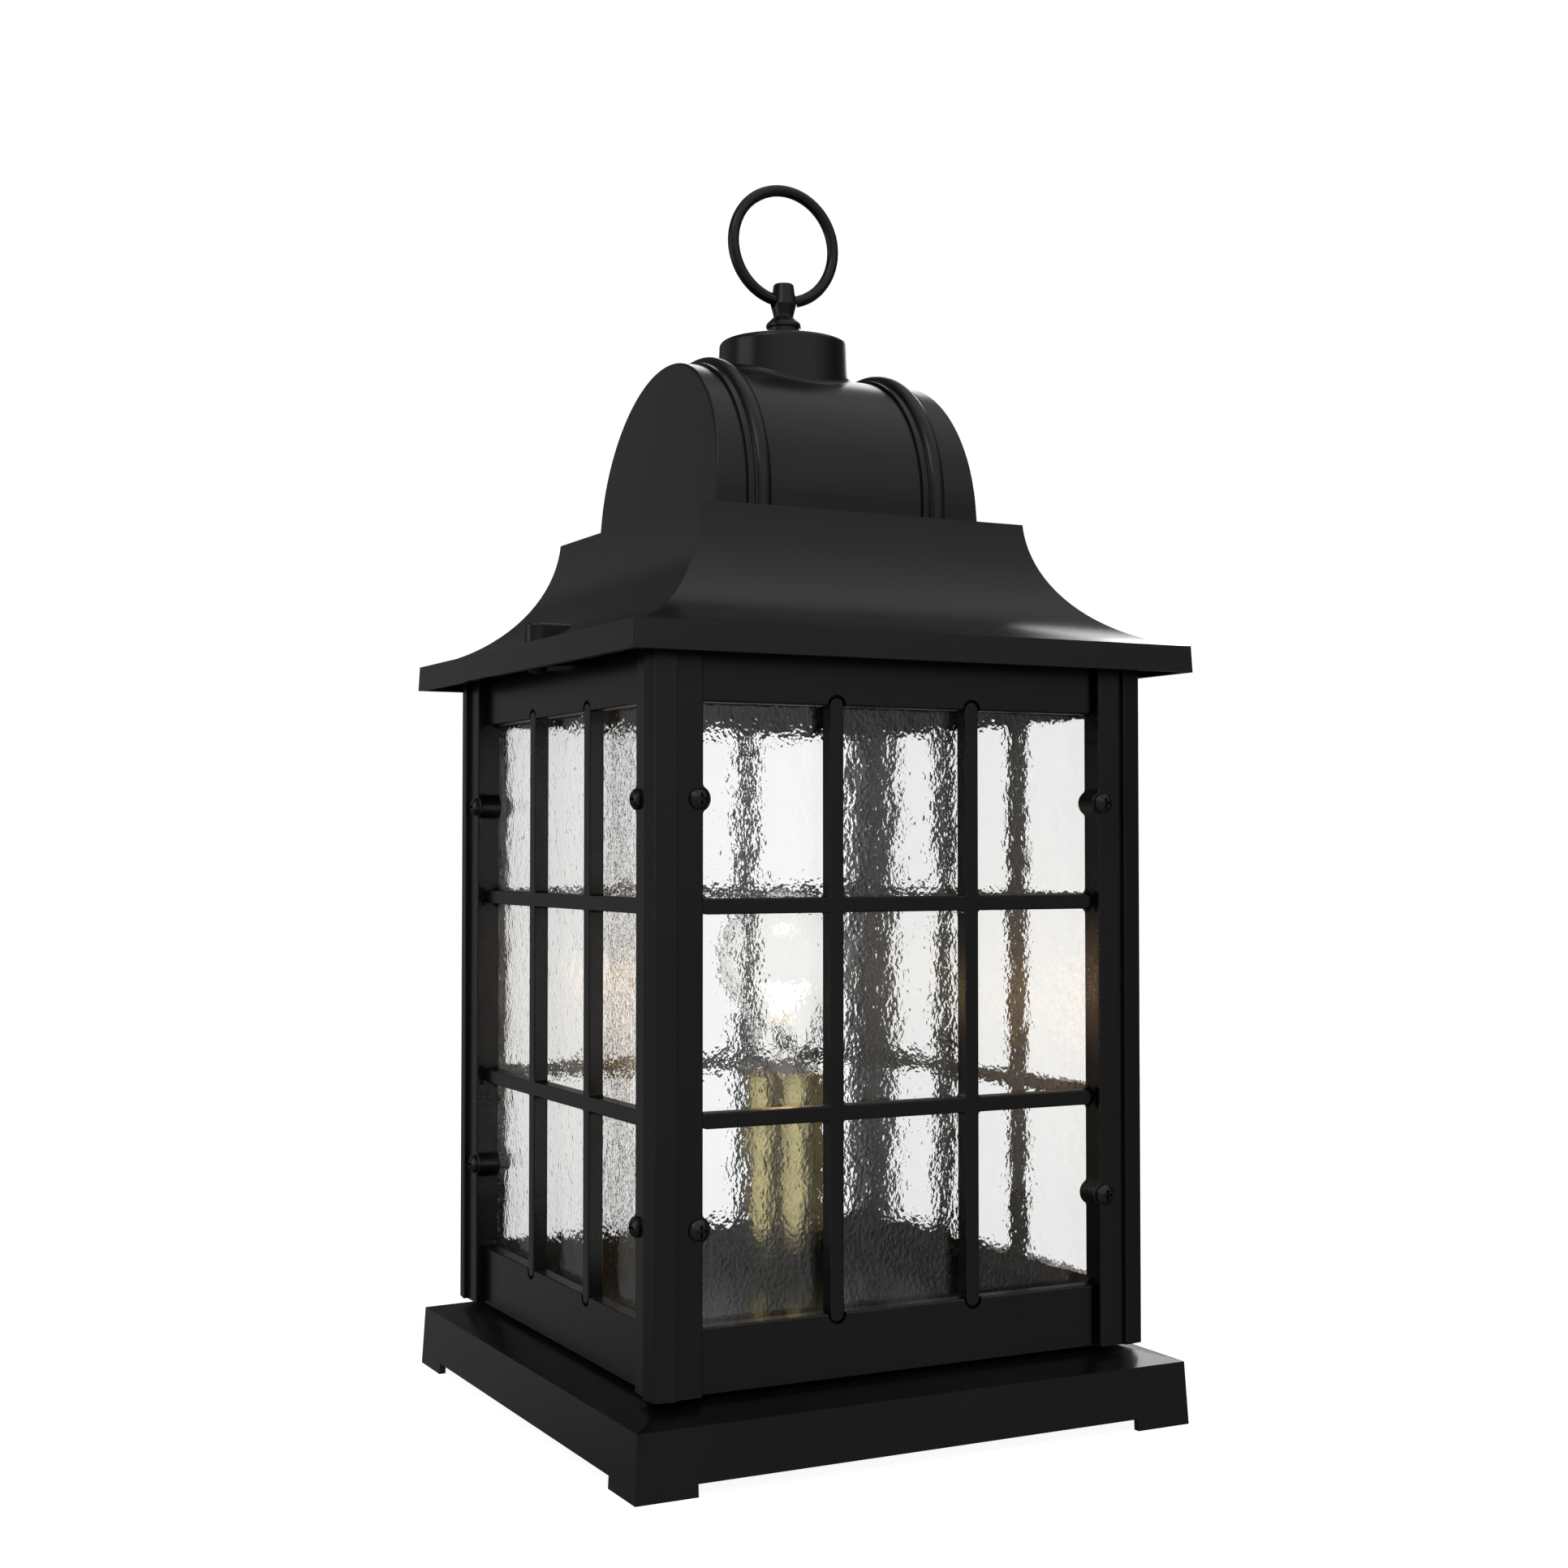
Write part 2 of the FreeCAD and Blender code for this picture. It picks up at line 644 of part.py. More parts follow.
def make_panel_screws():
    screw = make_screw("panel_screw_pattern", "panel_shank")
    outward = FreeCAD.Rotation(V(0, 0, 1), V(0, -1, 0))
    places = []
    for quarter in range(4):
        turned = FreeCAD.Placement(V(0, 0, 0), FreeCAD.Rotation(V(0, 0, 1), 90.0 * quarter))
        for across in (-SIZES["ear_place"], SIZES["ear_place"]):
            for height in (SIZES["ear_lower"], SIZES["ear_upper"]):
                seat = FreeCAD.Placement(V(across, -SIZES["flange_out"], height), outward)
                places.append(turned.multiply(seat))
    return group_of(screw, places, "panel_screws")


def make_roof_screws():
    screw = make_screw("roof_screw_pattern", "roof_screw_shank")
    upward = FreeCAD.Rotation(V(1, 0, 0), 180.0)
    places = [FreeCAD.Placement(V(side * SIZES["lug_reach"], 0, SIZES["lug_bottom"]), upward)
              for side in (1, -1)]
    return group_of(screw, places, "roof_screws")


def make_base_screws():
    screw = make_screw("base_screw_pattern", "base_screw_shank")
    upward = FreeCAD.Rotation(V(1, 0, 0), 180.0)
    seat = SIZES["table_height"] - SIZES["base_wall"]
    place = SIZES["base_screw_place"]
    places = [FreeCAD.Placement(V(across, along, seat), upward)
              for across in (place, -place) for along in (place, -place)]
    return group_of(screw, places, "base_screws")


# ---------------------------------------------------------------- roof casting
def boolean(kind, name, first, second):
    thing = doc.addObject("Part::" + kind, name)
    thing.Base = first
    thing.Tool = second
    return thing


def box(name, corner, lengths):
    """A Part box with its low corner and its three lengths bound to the sheet."""
    thing = doc.addObject("Part::Box", name)
    for side, value in zip(("Length", "Width", "Height"), lengths):
        bind(thing, side, value)
    for axis, value in zip(("x", "y", "z"), corner):
        bind(thing, "Placement.Base." + axis, value)
    return thing


def cylinder(name, middle, radius, low, high):
    thing = doc.addObject("Part::Cylinder", name)
    bind(thing, "Radius", radius)
    bind(thing, "Height", size(high) - low)
    for axis, value in zip(("x", "y", "z"), (middle[0], middle[1], low)):
        bind(thing, "Placement.Base." + axis, value)
    return thing


def roof_prism(name, role, inner):
    """The coved roof section drawn along one horizontal axis, solid or its hollow."""
    body = body_of(name)
    low_half, eave_half, crown_half = size("eave_low_half"), size("eave_half"), size("crown_half")
    bottom, eave, crown = size("eave_bottom"), size("eave_top"), size("crown_height")
    radius = size("cove_radius")
    if inner:
        wall = size("roof_wall")
        low_half, eave_half = low_half - wall * 1.2, eave_half - wall * 1.2
        bottom, eave = bottom - 1, eave - wall * 0.87
        crown_half, crown = crown_half - wall * 0.91, crown - wall
        radius = radius + wall
    section = outline(sketch_on(body, role), [
        (-low_half, bottom), (low_half, bottom), (eave_half, eave), (crown_half, crown),
        (-crown_half, crown), (-eave_half, eave)], {2: (radius, -1), 4: (radius, -1)})
    pad(body, section, size("eave_low_half") * 2.4, symmetric=True)
    return body


def coved(name, inner):
    return boolean("Common", name, roof_prism(name + "_across", "XZ_Plane", inner),
                   roof_prism(name + "_along", "YZ_Plane", inner))


def rounded(thing, name, radius, wanted):
    """A Part fillet over the edges of thing for which wanted(edge) holds."""
    doc.recompute()
    numbers = [number for number, edge in enumerate(thing.Shape.Edges, start=1) if wanted(edge)]
    fillet = doc.addObject("Part::Fillet", name)
    fillet.Base = thing
    amount = size(radius).number
    fillet.Edges = [(number, amount, amount) for number in numbers]
    doc.recompute()
    return fillet


def make_roof():
    def eave_corner(edge):
        middle = edge.CenterOfMass
        return near(abs(middle.x), abs(middle.y)) and abs(middle.x) > SIZES["eave_half"] - 0.1 \
            and edge.BoundBox.ZLength > 5.0

    solid = coved("roof_solid", False)
    soft = rounded(solid, "roof_corners", 1.2, eave_corner)
    hollow = coved("roof_hollow", True)
    shell = boolean("Cut", "roof_shell", soft, hollow)
    extras = []
    pad_side = size("roof_pad")
    place = size("roof_pad_place")
    for across in (place, -place - pad_side):
        for along in (place, -place - pad_side):
            extras.append(box("roof_pad", (across, along, "cage_top"),
                              (pad_side, pad_side, size("roof_pad") * 3)))
    for side in (1, -1):
        reach = size("lug_reach") * side
        extras.append(cylinder("boss_post", (reach, 0), "boss_radius", "boss_bottom",
                               size("eave_top") + 2))
    inner_parts = doc.addObject("Part::MultiFuse", "roof_inner_parts")
    inner_parts.Shapes = extras
    trimmed = boolean("Common", "roof_trimmed", inner_parts, solid)
    outer_parts = []
    boss = size("boss_radius")
    for side in (1, -1):
        reach = size("lug_reach") * side
        outer_parts.append(cylinder("boss_nose", (reach, 0), boss, "eave_top", "boss_top"))
        near_edge = reach if side < 0 else size("lug_reach") - 18
        outer_parts.append(box("boss_flank", (near_edge, -boss, size("eave_top") + 0.5),
                               (18, boss * 2, size("boss_top") - "eave_top" - 0.5)))
    outside = doc.addObject("Part::MultiFuse", "roof_bosses")
    outside.Shapes = outer_parts
    outside.Refine = True

    def boss_top_edge(edge):
        box_of = edge.BoundBox
        far_in = near(abs(edge.CenterOfMass.x), SIZES["lug_reach"] - 18)
        return near(box_of.ZMin, SIZES["boss_top"]) and near(box_of.ZMax, SIZES["boss_top"]) \
            and not far_in

    soft_boss = rounded(outside, "boss_edges", 1.0, boss_top_edge)
    body = doc.addObject("Part::MultiFuse", "roof_body")
    body.Shapes = [shell, trimmed, soft_boss]
    body.Refine = True
    cuts = [box("crown_opening", (-size("crown_hole"), -size("crown_hole"),
                                  size("crown_height") - 8),
                (size("crown_hole") * 2, size("crown_hole") * 2, 16))]
    for side in (1, -1):
        cuts.append(cylinder("roof_bore", (size("lug_reach") * side, 0), "roof_bore",
                             size("boss_bottom") - 1, "roof_bore_top"))
    holes = doc.addObject("Part::MultiFuse", "roof_holes")
    holes.Shapes = cuts
    return keep(boolean("Cut", "roof_casting", body, holes), "roof")


# ---------------------------------------------------------------- barrel vault
def vault_form(name, inset=None):
    """The arched prism with leaning ends, at the outside or the inside of its wall."""
    foot = size("crown_height") - (1 if inset else 0)
    inset = size(inset or 0)
    radius = size("vault_radius") - inset
    arch = body_of(name + "_arch")
    section = outline(sketch_on(arch, "YZ_Plane"), [
        (-radius, foot), (radius, foot), (radius, "vault_axis"), (-radius, "vault_axis")],
        {2: (radius, 1)})
    pad(arch, section, size("vault_foot") * 2.4, symmetric=True)
    lean = (size("vault_foot") - "vault_end") / (size("vault_top") - "crown_height")
    above = 6
    side = body_of(name + "_ends")
    low = size("vault_foot") - inset + lean
    high = size("vault_end") - inset - lean * above
    ends = outline(sketch_on(side, "XZ_Plane"), [
        (-low, size("crown_height") - 1), (low, size("crown_height") - 1),
        (high, size("vault_top") + above), (-high, size("vault_top") + above)])
    pad(side, ends, size("vault_radius") * 2.4, symmetric=True)
    return boolean("Common", name, arch, side)


def rib_outline(sketch, place, sign):
    """Flat band with a half-round bead, drawn outward from the vault's skin."""
    skin = size("vault_radius")
    band = (skin + "rib_step") * sign
    root = (skin - 0.5) * sign
    half, bead = size("rib_half"), size("bead_half")
    rise = SIZES["bead_height"] - SIZES["rib_step"]
    roundness = (SIZES["bead_half"] ** 2 + rise ** 2) / (2 * rise)
    place = size(place)
    return outline(sketch, [
        (place - half, root), (place + half, root), (place + half, band),
        (place + bead, band), (place - bead, band), (place - half, band)],
        {3: (roundness, sign)})


def make_rib(name, side):
    body = body_of(name)
    place = size("rib_place") * side
    hoop = spin(body, rib_outline(sketch_on(body, "XZ_Plane"), place, 1), axis="H_Axis")
    hoop.Angle = 180.0
    hoop.Midplane = True
    for sign in (1, -1):
        leg = rib_outline(sketch_on(body, "XY_Plane"), place, sign)
        pad(body, leg, size("vault_axis") - "crown_height", reverse=True)
    bind(body, "Placement.Base.z", "vault_axis")
    return body


def make_vault():
    def end_rim(edge):
        box_of = edge.BoundBox
        middle = edge.CenterOfMass
        return abs(middle.x) > SIZES["vault_end"] - 1 and box_of.ZLength > 5.0

    form = vault_form("vault_form")
    soft = rounded(form, "vault_rims", "vault_round", end_rim)
    hollow = vault_form("vault_hollow", "vault_wall")
    shell = boolean("Cut", "vault_shell", soft, hollow)
    neck = doc.addObject("Part::Cone", "neck_cone")
    bind(neck, "Radius1", "neck_foot")
    bind(neck, "Radius2", "neck_radius")
    bind(neck, "Height", size("neck_top") - "neck_low")
    bind(neck, "Placement.Base.z", "neck_low")

    def top_rim(edge):
        return near(edge.BoundBox.ZMin, SIZES["neck_top"]) \
            and near(edge.BoundBox.ZMax, SIZES["neck_top"])

    soft_neck = rounded(neck, "neck_rim", "neck_round", top_rim)
    skin = boolean("Fuse", "vault_skin", shell, soft_neck)

    def saddle(edge):
        middle = edge.BoundBox
        reach = max(abs(middle.XMin), abs(middle.XMax), abs(middle.YMin), abs(middle.YMax))
        low, high = SIZES["vault_axis"] + 50, SIZES["vault_top"] + 0.5
        return 25 < reach < 32 and middle.ZMin > low and middle.ZMax < high \
            and middle.ZLength > 1 and middle.ZMax > SIZES["vault_top"] - 1.5 \
            and edge.BoundBox.XLength > 20

    soft_skin = rounded(skin, "vault_saddle", "neck_blend", saddle)
    joined = doc.addObject("Part::MultiFuse", "vault_joined")
    joined.Shapes = [soft_skin, make_rib("rib_left", -1), make_rib("rib_right", 1)]
    joined.Refine = True
    bores = doc.addObject("Part::MultiFuse", "vault_bores")
    bores.Shapes = [
        cylinder("neck_bore", (0, 0), "neck_bore", size("neck_low") - 5,
                 size("neck_top") - "neck_cap"),
        cylinder("stud_hole", (0, 0), "stud_hole", size("neck_top") - 10,
                 size("neck_top") + 2)]
    return keep(boolean("Cut", "vault_casting", joined, bores), "vault")


# ---------------------------------------------------------------- finial and ring
def make_finial():
    body = body_of("finial")
    axis = size("ring_axis")
    steps = [
        ("stud_radius", "stud_end"), ("stud_radius", "neck_top"), ("finial_foot", "neck_top"),
        ("finial_foot", "foot_groove"), ("finial_rim", "rim_low"), ("finial_rim", "rim_high"),
        ("shoulder", "shoulder_height"), ("finial_neck", "neck_start"),
        ("finial_neck", "neck_end"), ("finial_belly", "belly_height"),
        ("finial_tip", "tip_height"), ("finial_crown", "finial_top"), (0, "finial_top")]
    points = [(0, size("stud_end") - axis)]
    points += [(radius, size(height) - axis) for radius, height in steps]
    spin(body, outline(sketch_on(body, "XZ_Plane"), points))
    reach = size("mouth_reach")
    inner = size("ring_radius") - "wire_radius" - "ring_fit"
    mouth = outline(sketch_on(body, "XZ_Plane"), [
        (-reach, 0), (reach, 0), (reach, "mouth_radius"), (-reach, "mouth_radius")],
        {2: (inner, -1)})
    spin(body, mouth, kind="Groove", axis="H_Axis")
    bind(body, "Placement.Base.z", axis)
    return keep(body, "finial")


def make_nut(name, corner, bore, low, thick):
    prism = doc.addObject("Part::Prism", name + "_hexagon")
    prism.Polygon = 6
    bind(prism, "Circumradius", corner)
    bind(prism, "Height", thick)
    bind(prism, "Placement.Base.z", low)
    hole = cylinder(name + "_bore", (0, 0), bore, size(low) - 1, size(low) + thick + 1)
    return keep(boolean("Cut", name, prism, hole), name)


def make_ring():
    ring = doc.addObject("Part::Torus", "ring")
    bind(ring, "Radius1", "ring_radius")
    bind(ring, "Radius2", "wire_radius")
    ring.Placement = FreeCAD.Placement(V(0, 0, 0), FreeCAD.Rotation(V(1, 0, 0), 90.0))
    bind(ring, "Placement.Base.z", size("ring_axis") + "ring_radius")
    return keep(ring, "ring")


# ---------------------------------------------------------------- candle sleeve and socket
def turned(name, points, arcs=None, on_axis=()):
    """A body turned about Z from a half section."""
    body = body_of(name)
    spin(body, outline(sketch_on(body, "XZ_Plane"), points, arcs, on_axis))
    return keep(body, name)


def tube(name, outer, inner, low, high):
    outer, inner = size(outer), size(inner)
    return turned(name, [(inner, low), (outer, low), (outer, high), (inner, high)])


def make_socket():
    tube("sleeve", "sleeve_radius", size("sleeve_radius") - "sleeve_wall",
         "table_height", "sleeve_top")
    tube("nipple", "nipple_radius", "nipple_bore", "nipple_bottom", "nipple_top")
    make_nut("nipple_nut", "lock_corner", "nipple_fit",
             size("table_height") - "base_wall" - "lock_height", "lock_height")
    turned("socket_body", [
        ("nipple_fit", "socket_bottom"), ("socket_radius", "socket_bottom"),
        ("socket_radius", "socket_top"), ("socket_bore", "socket_top"),
        ("socket_bore", "socket_floor"), (0, "socket_floor"), (0, "nipple_seat"),
        ("nipple_fit", "nipple_seat")])
    tube("socket_shell", "shell_radius", size("shell_radius") - "shell_wall",
         "socket_floor", "socket_top")
    turned("socket_contact", [
        (0, "socket_floor"), ("contact_radius", "socket_floor"),
        ("contact_radius", "contact_top"), (0, "contact_top")])


# ---------------------------------------------------------------- bulb
def make_bulb():
    wall = size("cap_wall")
    turned("bulb_cap", [
        ("cap_mouth", "cap_low"), ("cap_radius", "cap_shoulder"), ("cap_radius", "cap_top"),
        (size("cap_radius") - wall, "cap_top"),
        (size("cap_radius") - wall, size("cap_shoulder") + wall),
        ("cap_mouth", size("cap_low") + wall)])
    turned("bulb_contact", [
        (0, "tip_low"), ("tip_radius", "tip_low"), ("plug_radius", "cap_low"),
        ("plug_radius", "plug_top"), (0, "plug_top")])
    glass = size("bulb_wall")
    top = size("bulb_centre") + "bulb_radius"
    inner_radius = size("bulb_radius") - glass
    inner_waist = size("bulb_waist") + glass
    centres_apart = size("bulb_radius") + "bulb_waist"
    across = (size("bulb_neck") + "bulb_waist") / centres_apart
    down = (size("bulb_centre") - "bulb_neck_height") / centres_apart
    outer_tangent = (across * "bulb_radius", size("bulb_centre") - down * "bulb_radius")
    inner_tangent = (across * inner_radius, size("bulb_centre") - down * inner_radius)
    turned("bulb_envelope", [
        (size("bulb_collar") - glass, "bulb_collar_height"),
        ("bulb_collar", "bulb_collar_height"), ("bulb_neck", size("bulb_neck_height") - 4),
        ("bulb_neck", "bulb_neck_height"), outer_tangent,
        ("bulb_flat", top), (0, top), (0, top - glass), ("bulb_flat", top - glass),
        inner_tangent,
        (size("bulb_neck") - glass, "bulb_neck_height"),
        (size("bulb_neck") - glass, size("bulb_neck_height") - 3.8)],
        {3: ("bulb_waist", -1), 4: ("bulb_radius", 1), 8: (inner_radius, -1),
         9: (inner_waist, 1)}, on_axis=(4, 8))
    turned("bulb_stem", [
        (0, "cap_top"), ("stem_flare", "cap_top"), ("stem_flare", size("cap_top") + "stem_rim"),
        ("stem_radius", "stem_shoulder"), ("stem_tip", "stem_top"), (0, "stem_top")])


def make_filament():
    """Two lead wires that rise from the stem and carry the coil between their tips."""
    low, high = SIZES["stem_top"] + SIZES["lead_gap"], SIZES["filament_height"]
    start, reach = SIZES["lead_place"], SIZES["filament_half"]
    solids = []
    for side in (1, -1):
        foot = V(side * start, 0, low)
        tip = V(side * reach, 0, high)
        run = tip - foot
        solids.append(Part.makeCylinder(SIZES["lead_wire"], run.Length + 0.6, foot, run))
    solids.append(Part.makeCylinder(SIZES["coil_wire"], reach * 2, V(-reach, 0, high), V(1, 0, 0)))
    filament = doc.addObject("Part::Feature", "bulb_filament")
    filament.Shape = solids[2].fuse(solids[:2])
    return keep(filament, "bulb_filament")


CORNERS = ("front_left", "front_right", "back_right", "back_left")
SIDES = ("front", "right", "back", "left")

make_base()
make_bottom_frame()
make_top_frame()
for number, corner in enumerate(CORNERS):
    make_post("post_" + corner, number)
    make_stile("stile_" + corner, number)
for number, side in enumerate(SIDES):
    make_grille("grille_" + side, number)
    make_glass("glass_" + side, number)
make_panel_screws()
make_base_screws()
make_roof_screws()
make_roof()
make_vault()
make_finial()
make_nut("finial_nut", "nut_corner", "nut_bore",
         size("neck_top") - "neck_cap" - "nut_height", "nut_height")
make_ring()
make_socket()
make_bulb()
make_filament()

doc.recompute()

for thing in doc.Objects:
    if "Invalid" in thing.State or "Error" in thing.State:
        raise RuntimeError("%s: %s" % (thing.Name, thing.State))
for thing in handed_in:
    if thing.Shape.isNull() or not thing.Shape.isValid() or thing.Shape.Volume <= 0:
        raise RuntimeError("%s has no valid shape" % thing.Label)
    thing.Shape.exportStep("parts/%s.step" % thing.Label)
    print("%-18s %3d solid(s) %12.1f mm3" % (thing.Label, len(thing.Shape.Solids),
                                             thing.Shape.Volume))
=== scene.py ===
"""Looks for the outdoor lantern: panes of seeded glass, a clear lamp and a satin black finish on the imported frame."""

import math

import bmesh
import bpy
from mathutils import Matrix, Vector, noise


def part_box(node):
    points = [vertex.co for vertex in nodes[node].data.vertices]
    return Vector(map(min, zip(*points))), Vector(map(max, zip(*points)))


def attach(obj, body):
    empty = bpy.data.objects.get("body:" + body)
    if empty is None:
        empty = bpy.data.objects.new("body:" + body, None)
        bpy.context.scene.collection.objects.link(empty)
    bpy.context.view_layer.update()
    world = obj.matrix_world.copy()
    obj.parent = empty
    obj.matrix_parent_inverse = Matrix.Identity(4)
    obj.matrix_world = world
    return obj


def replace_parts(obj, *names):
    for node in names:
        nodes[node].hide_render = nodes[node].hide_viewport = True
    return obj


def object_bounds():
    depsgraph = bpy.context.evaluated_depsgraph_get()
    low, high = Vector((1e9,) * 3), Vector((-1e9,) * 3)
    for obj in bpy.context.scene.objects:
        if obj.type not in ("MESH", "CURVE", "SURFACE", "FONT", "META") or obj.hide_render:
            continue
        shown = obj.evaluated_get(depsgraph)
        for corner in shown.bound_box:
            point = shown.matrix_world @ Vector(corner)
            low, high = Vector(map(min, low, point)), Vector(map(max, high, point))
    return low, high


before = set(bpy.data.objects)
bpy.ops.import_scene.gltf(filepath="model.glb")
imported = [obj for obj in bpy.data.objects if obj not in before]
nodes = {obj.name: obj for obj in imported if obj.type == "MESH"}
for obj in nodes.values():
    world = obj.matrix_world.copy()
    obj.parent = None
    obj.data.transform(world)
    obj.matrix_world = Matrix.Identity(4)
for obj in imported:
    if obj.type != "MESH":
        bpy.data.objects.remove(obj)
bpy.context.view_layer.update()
scene = bpy.context.scene


# ---------------------------------------------------------------- shader helpers


class Finish:
    """One material, with short ways to add and join its nodes."""

    def __init__(self, name, **settings):
        self.material = bpy.data.materials.new(name)
        self.material.use_nodes = True
        self.tree = self.material.node_tree
        self.tree.nodes.clear()
        self.surface = self.add("ShaderNodeBsdfPrincipled")
        output = self.add("ShaderNodeOutputMaterial")
        self.tree.links.new(self.surface.outputs["BSDF"], output.inputs["Surface"])
        self.place = self.add("ShaderNodeTexCoord").outputs["Object"]
        for key, value in settings.items():
            self.surface.inputs[key.replace("_", " ")].default_value = value

    def add(self, kind, **properties):
        """A new node with its properties set."""
        node = self.tree.nodes.new(kind)
        for key, value in properties.items():
            setattr(node, key, value)
        return node

    def feed(self, node, values):
        """Link sockets and set plain values on a node's inputs."""
        for key, value in values.items():
            if isinstance(value, bpy.types.NodeSocket):
                self.tree.links.new(value, node.inputs[key])
            else:
                node.inputs[key].default_value = value
        return node

    def stretched(self, scale):
        """Object coordinates multiplied by a factor along each axis."""
        node = self.add("ShaderNodeVectorMath", operation="MULTIPLY")
        self.feed(node, {0: self.place, 1: scale})
        return node.outputs["Vector"]

    def noise(self, wave, detail=2.0, rough=0.5, place=None):
        """Soft noise from 0 to 1 whose features are about wave metres across."""
        node = self.add("ShaderNodeTexNoise")
        values = {"Vector": place or self.place, "Scale": 1 / wave, "Detail": detail, "Roughness": rough}
        return self.feed(node, values).outputs["Fac"]

    def cells(self, wave, place=None):
        """Outputs of a pattern of cells about wave metres across."""
        node = self.add("ShaderNodeTexVoronoi", feature="F1")
        return self.feed(node, {"Vector": place or self.place, "Scale": 1 / wave}).outputs

    def spread(self, value, low, high, to_low, to_high):
        """The value carried from low..high to to_low..to_high, and held at the ends."""
        node = self.add("ShaderNodeMapRange")
        values = {"Value": value, "From Min": low, "From Max": high, "To Min": to_low, "To Max": to_high}
        return self.feed(node, values).outputs["Result"]

    def sum(self, first, second, operation="ADD"):
        node = self.add("ShaderNodeMath", operation=operation)
        return self.feed(node, {0: first, 1: second}).outputs["Value"]

    def mix(self, factor, first, second):
        node = self.add("ShaderNodeMix", data_type="RGBA")
        return self.feed(node, {0: factor, 6: (*first, 1), 7: (*second, 1)}).outputs[2]

    def bump(self, height, depth, below=None):
        """A normal for a relief of that depth in metres, over another normal if one is given."""
        node = self.add("ShaderNodeBump")
        self.feed(node, {"Height": height, "Distance": depth, "Strength": 1.0})
        if below is not None:
            self.feed(node, {"Normal": below})
        return node.outputs["Normal"]

    def set(self, **values):
        """Link or set inputs of the surface shader."""
        for key, value in values.items():
            self.feed(self.surface, {key.replace("_", " "): value})
        return self


# ---------------------------------------------------------------- finishes


def black_metal():
    """Satin powder coat: fine orange peel, and slow patches of slightly different depth and gloss."""
    coat = Finish("black_powder_coat", Specular_IOR_Level=0.5)
    patches = coat.noise(0.045, 3.0)
    peel = coat.noise(0.0016, 2.0, 0.5)
    grit = coat.noise(0.0004, 1.0)
    coat.set(
        Base_Color=coat.mix(coat.spread(patches, 0.3, 0.7, 0, 1), (0.0018, 0.0018, 0.0019), (0.0032, 0.0032, 0.0033)),
        Roughness=coat.sum(coat.spread(patches, 0.3, 0.7, 0.22, 0.26), coat.spread(grit, 0.3, 0.7, 0, 0.03)),
        Normal=coat.bump(grit, 0.000001, coat.bump(peel, 0.000003)),
    )
    return coat.material


def black_screws():
    """Black oxide: a little glossier than the coat, rubbed in fine scratches."""
    oxide = Finish("black_oxide", Specular_IOR_Level=0.6)
    patches = oxide.noise(0.002, 3.0)
    oxide.set(
        Base_Color=oxide.mix(oxide.spread(patches, 0.4, 0.7, 0, 1), (0.002, 0.002, 0.0021), (0.007, 0.0068, 0.0065)),
        Roughness=oxide.spread(patches, 0.3, 0.7, 0.2, 0.3),
        Normal=oxide.bump(oxide.noise(0.0006, 2.0), 0.00001),
    )
    return oxide.material


def seeded_glass():
    """Clear cathedral glass: fine hammering over the pane's ripples, and small drawn-out seeds."""
    glass = Finish(
        "seeded_glass",
        Base_Color=(0.985, 0.99, 0.985, 1),
        Roughness=0.0,
        IOR=1.5,
        Transmission_Weight=1.0,
        # Painted glint: the warm colour of an emission that stands in for the lamp's light caught on the side panes.
        Emission_Color=(1.0, 0.58, 0.22, 1),
    )
    drawn = glass.stretched((1, 1, 0.8))
    hammer = glass.noise(0.0017, 1.5, 0.5, drawn)
    seeds = glass.cells(0.006, drawn)["Distance"]
    seed = glass.spread(seeds, 0.02, 0.16, 1, 0)
    glass.set(
        Normal=glass.bump(seed, 0.00006, glass.bump(hammer, 0.000085)),
        Emission_Strength=painted_lamp_glints(glass, hammer),
    )
    return glass.material


# The side panes glow with a painted glint, an emission standing in for the lamp's light scattered by their hammering.
GLINT_REACH = 0.026  # height above or below the filament at which the glints fall to half
GLINT_STRENGTH = 0.08
GLINT_FRONT, GLINT_BACK = -0.09, 0.03  # depths along Y between which the glints fade towards the back


def painted_lamp_glints(glass, hammer):
    """Strength of a painted glint: warm emission on the hammering of the two side panes, standing in for the lamp's
    light caught there.

    It is strongest level with the filament and towards the front edges.
    """
    low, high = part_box("bulb_filament")
    x, y, z = glass.feed(glass.add("ShaderNodeSeparateXYZ"), {"Vector": glass.place}).outputs
    above = glass.sum(z, -(low.z + high.z) / 2)
    away = glass.sum(glass.sum(above, above, "MULTIPLY"), GLINT_REACH**2)
    level = glass.sum(GLINT_REACH**2, away, "DIVIDE")
    side = glass.sum(glass.sum(x, 0, "ABSOLUTE"), glass.sum(y, 0, "ABSOLUTE"), "GREATER_THAN")
    # Painted glint: brighter on the steep slopes of the hammering.
    painted_glint = glass.spread(hammer, 0.35, 0.65, 0, 2 * GLINT_STRENGTH)
    forward = glass.spread(y, GLINT_FRONT, GLINT_BACK, 1, 0.15)
    return glass.sum(glass.sum(level, side, "MULTIPLY"), glass.sum(painted_glint, forward, "MULTIPLY"), "MULTIPLY")


def satin_brass():
    """Brushed brass tube: streaks down the tube, with slow clouds of deeper tone."""
    brass = Finish("satin_brass", Metallic=1.0)
    streaks = brass.noise(0.0012, 3.0, 0.6, brass.stretched((1, 1, 0.03)))
    clouds = brass.noise(0.012, 2.0)
    brass.set(
        Base_Color=brass.mix(brass.spread(clouds, 0.3, 0.7, 0, 1), (0.5, 0.43, 0.21), (0.58, 0.51, 0.26)),
        Roughness=brass.spread(streaks, 0.3, 0.7, 0.15, 0.22),
        Normal=brass.bump(streaks, 0.000001),
    )
    return brass.material


